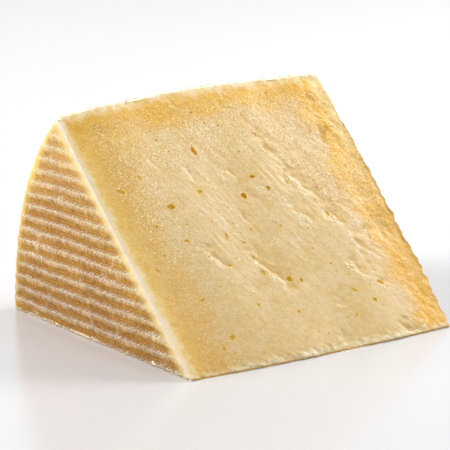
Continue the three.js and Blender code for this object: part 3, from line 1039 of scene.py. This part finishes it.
def rind_material(finish):
    """The pressed rind: the flat faces' grooves, tan ridges and pale lips with painted highlights, and the
    curved side's plait.
    """
    n = Nodes("cheese_rind", finish.groove)
    near, far, cut, pressed = n.stored("near_depth", "far_depth", "cut_depth", "pressed")
    back, high = n.add("ShaderNodeSeparateXYZ", {0: n.place}, "Y", "Z")
    phase = n.math("FRACT", n.stored("climb"))
    n.paint(finish.ridge, n.fit(phase, 0.14, 0.48))
    streak = n.noise(0.6, 3, 0.6, n.vector("MULTIPLY", n.place, (1, 1, 0.25)))
    n.tint(n.fit(streak, 0.35, 0.65), (1.28, 1.34, 1.40), (0.64, 0.60, 0.54))
    # Painted shade: the dark golden shelf above each lip.
    n.paint(finish.shelf, n.fit(phase, LIP, LIP + 0.08))
    n.paint(finish.margin, (1.0 - pressed) * 0.9)
    n.tint(n.fit(far, 4, 1), (0.87, 0.82, 1.0))
    inward = n.fit(n.math("MINIMUM", near, far), 0.7, 2.6, 0.0, 0.95)
    plait = n.mix(n.stored("strand"), finish.strand_gap, finish.strand)
    n.paint(plait, inward * n.fit(cut, 0.8, 4))
    scuff = n.fit(n.noise(6, 5, 0.6), 0.58, 0.68) * n.fit(n.noise(0.7, 3), 0.35, 0.6)
    n.paint(finish.lip, scuff * 0.5)
    n.tint(n.fit(n.noise(9, 4), 0.35, 0.65), (0.90, 0.83, 0.76), (1.06, 1.07, 1.12))

    slant = back + high * STROKE_LEAN
    stray = n.fit(n.noise(1.8, 3), 0.2, 0.8, -0.5, 0.5)
    thread = n.math("SINE", (slant + stray) * (2 * math.pi / STROKE_PITCH))
    rise = (phase - LIP) / (1 - LIP)
    fibre = n.add("ShaderNodeCombineXYZ", {"X": slant, "Y": high * 0.25})
    fray = n.fit(n.noise(0.5, 3, 0.7, fibre), 0.3, 0.7, -0.7, 0.7)
    comb = n.fit(thread + fray - rise * 0.9, -0.25, 0.08)
    comb = comb * n.fit(phase, LIP - 0.14, LIP - 0.05) * n.fit(rise, 0.85, 0.3)
    # Pale bloom and painted highlight: a bright line along each ridge's lip.
    lip_line_and_highlight = n.fit(phase, LIP - 0.1, LIP - 0.02) * n.fit(phase, LIP + 0.08, LIP)
    lip_line_and_highlight = lip_line_and_highlight * n.fit(n.noise(1.2, 3, 0.7), 0.42, 0.58)
    broken = n.fit(n.noise(0.7, 4, 0.7), 0.38, 0.58, 0.15, 1.15)
    worn = n.fit(n.noise(6, 3), 0.3, 0.5, 0.7, 1.0) * n.fit(cut, 1, 6, 0.6, 1.0)
    pale = n.most(comb, lip_line_and_highlight) * (broken * worn) * n.fit(pressed, 0.05, 0.4)
    n.paint(finish.lip, pale)
    # Painted light: the flat faces are paler and lighter towards the crest, as more light falls there.
    above = n.fit(high, 30, 64)
    n.paint(finish.edge, above * 0.2)
    n.tint(above, (1.14, 1.09, 1.03))
    beside = n.most(n.fit(cut, 14, 2), n.fit(n.stored("crest_depth"), 9, 2))
    n.tint(beside * n.fit(near, 2.0, 0.7), (1.10, 1.16, 1.04))
    # Painted shade: the near face is darker towards the table.
    n.tint(n.fit(high, 26, 2) * n.fit(near, 4, 1), (0.84, 0.83, 0.86))

    ripple = n.fit(n.noise(2.6, 4, 0.6), 0.3, 0.7, -0.5, 0.5)
    scuffed = n.fit(n.noise(1.0, 4, 0.7), 0.3, 0.55, 0.5, 1.0)
    scuffed = scuffed * n.fit(inward, 0.0, 0.9, 1.0, 0.4)
    n.paint(finish.edge, n.fit(cut + ripple, 0.8, 6.0, 0.7, 0.0) * scuffed)
    hem = n.fit(high + ripple, 0.8, 0.0) * n.fit(n.noise(8, 2), 0.4, 0.6, 0.1, 0.6)
    # Dried lip and painted highlight: the rim colour along the cut and the table.
    n.paint(finish.rim, n.most(n.fit(cut + ripple, 2.4, 0.3), hem) * scuffed)
    return n.finish(
        Roughness=n.fit(pale, 0.1, 0.6, 0.4, 0.2),
        IOR=n.fit(pale, 0.1, 0.7, 1.25, 1.75),
        Normal=n.bump(n.noise(0.6, 4, 0.7) + pale * 0.45, 0.5 * MM),
        **SUBSURFACE,
    )


def eye_material(finish):
    """The moist wall of an eye, with painted shade: deeper and more orange towards its floor."""
    n = Nodes("cheese_eye_wall", finish.eye_wall)
    sunk = n.stored("cut_depth") + n.fit(n.noise(0.8, 2), 0.3, 0.7, -0.3, 0.3)
    # Painted shade: deeper and more orange towards the eye's floor.
    n.paint(finish.eye_floor_shade, n.fit(sunk, 0.3, 1.4))
    return n.finish(
        Roughness=0.35,
        IOR=1.4,
        Normal=n.bump(n.noise(0.5, 2), 0.06 * MM),
        Subsurface_Weight=0.8,
        Subsurface_Radius=(1.0, 0.7, 0.3),
        Subsurface_Scale=1.5 * MM,
    )


def crumb_material(crumbs):
    """Dry pale crumbs among moister golden ones."""
    n = Nodes("cheese_crumb", crumbs.golden)
    n.paint(crumbs.pale, n.fit(n.noise(2.2, 2), 0.4, 0.6))
    return n.finish(Roughness=0.4, IOR=1.4)


def floor_material(studio):
    """A pale, slightly glossy table."""
    return Nodes("studio_floor", studio.floor_colour).finish(Roughness=0.2, IOR=1.6)


# ---- operators


class CHEESE_OT_wedge(bpy.types.Operator):
    """Models the wedge with its ridges, tears and eyes, and gives it its finishes"""

    bl_idname = "cheese.wedge"
    bl_label = "Cheese Wedge"

    def execute(self, context):
        scene = context.scene
        skin = Skin(scene.cheese_form)
        rind, cut, finish = scene.cheese_rind, scene.cheese_cut, scene.cheese_finish
        points, shell = shape_wedge(skin, rind, cut)
        low, high = (np.array(corner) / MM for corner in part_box(NODE))
        shift = (low + high) / 2 - (shell.points.min(0) + shell.points.max(0)) / 2
        shift[2] = low[2]
        solid = show("wedge_uncut", new_mesh("wedge", (points + shift) * MM, shell.triangles))
        cutters = show("eye_cutters", eye_cutters(skin, cut.pinholes, points))
        cutters.data.transform(Matrix.Translation(Vector(shift) * MM))
        materials = paste_material(finish), rind_material(finish), eye_material(finish)
        for material in materials:
            solid.data.materials.append(material)
            cutters.data.materials.append(material)
        solid.data.polygons.foreach_set("material_index", rind_faces(solid.data, skin, shift))
        cutters.data.polygons.foreach_set("material_index", [2] * len(cutters.data.polygons))
        boolean = solid.modifiers.new("eyes", "BOOLEAN")
        boolean.object, boolean.operation, boolean.solver = cutters, "DIFFERENCE", "MANIFOLD"
        whole = bpy.data.meshes.new_from_object(solid.evaluated_get(context.evaluated_depsgraph_get()))
        if len(whole.vertices) < len(points):
            raise RuntimeError("the eyes could not be cut out of the wedge")
        for piece in (solid, cutters):
            bpy.data.objects.remove(piece)
        mark_surface(whole, skin, rind, shift)
        whole.shade_smooth()
        whole.set_sharp_from_angle(angle=SHARP)
        wedge = show(WEDGE, whole)
        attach(wedge, "root")
        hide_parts(NODE)
        return {"FINISHED"}


class CHEESE_OT_crumbs(bpy.types.Operator):
    """Scatters small crumbs along the wedge's crest and nose and in its torn paste"""

    bl_idname = "cheese.crumbs"
    bl_label = "Crumbs"

    def execute(self, context):
        crumbs = context.scene.cheese_crumbs
        wedge = context.scene.objects.get(WEDGE)
        if wedge is None:
            raise RuntimeError("the crumbs cling to the wedge, which is made first")
        rng = np.random.default_rng(CRUMB_SEED)
        seats, normals, proud = crumb_seats(wedge.data, crumbs.count, rng)
        sizes = crumbs.smallest + (crumbs.largest - crumbs.smallest) * rng.random(crumbs.count) ** 2.5
        points, triangles = crumb_bodies(seats, normals * proud[:, None], sizes, rng)
        heap = show("cheese_crumbs", new_mesh("crumbs", points, triangles))
        heap.data.materials.append(crumb_material(crumbs))
        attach(heap, "root")
        return {"FINISHED"}


# A soft light's name, its power's setting, its place from the wedge's middle, and its width, in metres.
LIGHTS = (
    ("key_light", "key", (0.60, 0.03, 0.43), 0.35),
    ("rind_light", "rind", (-0.75, 0.55, 0.62), 0.6),
    ("backdrop", "backdrop", (1.8, 2.5, 0.9), 3.0),
    ("top_light", "top", (0.15, -0.45, 0.95), 0.6),
)
AIM = (0.206, 0.302, 0.29)  # where the camera looks, from the middle of the wedge's base, in its sizes
FLOOR_WIDTH = 8  # metres


def turned_to(out):
    """The turn of a camera or a light that stands out this way from what it faces."""
    return (-out).to_track_quat("-Z", "Y").to_euler()


class CHEESE_OT_stage(bpy.types.Operator):
    """Lays the pale floor and sets up the soft lights and the camera"""

    bl_idname = "cheese.stage"
    bl_label = "Studio"

    def execute(self, context):
        scene = context.scene
        studio = scene.cheese_studio
        low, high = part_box(NODE)
        bpy.ops.mesh.primitive_plane_add(size=FLOOR_WIDTH, location=(0, 0, low.z))
        floor = context.object
        floor.name = "studio_floor"
        floor.data.materials.append(floor_material(studio))
        world = bpy.data.worlds.new("studio_sky")
        world.use_nodes = True
        background = world.node_tree.nodes["Background"]
        background.inputs["Color"].default_value = (1.0, 1.0, 1.0, 1.0)
        background.inputs["Strength"].default_value = studio.sky
        scene.world = world
        for name, setting, place, width in LIGHTS:
            light = bpy.data.lights.new(name, "AREA")
            light.shape, light.size, light.energy = "SQUARE", width, getattr(studio, setting)
            box = show(name, light)
            box.location = (low + high) / 2 + Vector(place)
            box.rotation_euler = turned_to(Vector(place))
        camera = show("camera", bpy.data.cameras.new("camera"))
        camera.data.lens = studio.lens
        camera.data.clip_end = 50
        level, rise = math.cos(studio.elevation), math.sin(studio.elevation)
        out = Vector((math.sin(studio.azimuth) * level, -math.cos(studio.azimuth) * level, rise))
        aim = Vector([share * size for share, size in zip(AIM, high - low)]) + Vector((0, 0, low.z))
        camera.location = aim + out * studio.distance
        camera.rotation_euler = turned_to(out)
        scene.camera = camera
        scene.view_settings.view_transform = "Standard"
        return {"FINISHED"}


class CHEESE_PT_sidebar(bpy.types.Panel):
    """Lists the pieces and their settings"""

    bl_idname = "CHEESE_PT_sidebar"
    bl_label = "Sheep Cheese Wedge"
    bl_space_type = "VIEW_3D"
    bl_region_type = "UI"
    bl_category = "Cheese"

    def draw(self, context):
        for operator, groups in PIECES:
            self.layout.operator(operator.bl_idname)
            for name, group in groups:
                for setting in group.__annotations__:
                    self.layout.prop(getattr(context.scene, name), setting)


GROUPS = (
    ("cheese_form", WedgeForm),
    ("cheese_rind", RindRelief),
    ("cheese_cut", CutRelief),
    ("cheese_finish", Finish),
    ("cheese_crumbs", Crumbs),
    ("cheese_studio", Studio),
)
PIECES = ((CHEESE_OT_wedge, GROUPS[:4]), (CHEESE_OT_crumbs, GROUPS[4:5]), (CHEESE_OT_stage, GROUPS[5:]))
CLASSES = (*(group for _, group in GROUPS), *(operator for operator, _ in PIECES), CHEESE_PT_sidebar)


def register():
    for cls in CLASSES:
        bpy.utils.register_class(cls)
    for name, group in GROUPS:
        setattr(bpy.types.Scene, name, PointerProperty(type=group))


def unregister():
    for name, _ in GROUPS:
        delattr(bpy.types.Scene, name)
    for cls in reversed(CLASSES):
        bpy.utils.unregister_class(cls)


def main():
    register()
    bpy.ops.cheese.wedge()
    bpy.ops.cheese.crumbs()
    bpy.ops.cheese.stage()


if __name__ == "__main__":
    main()
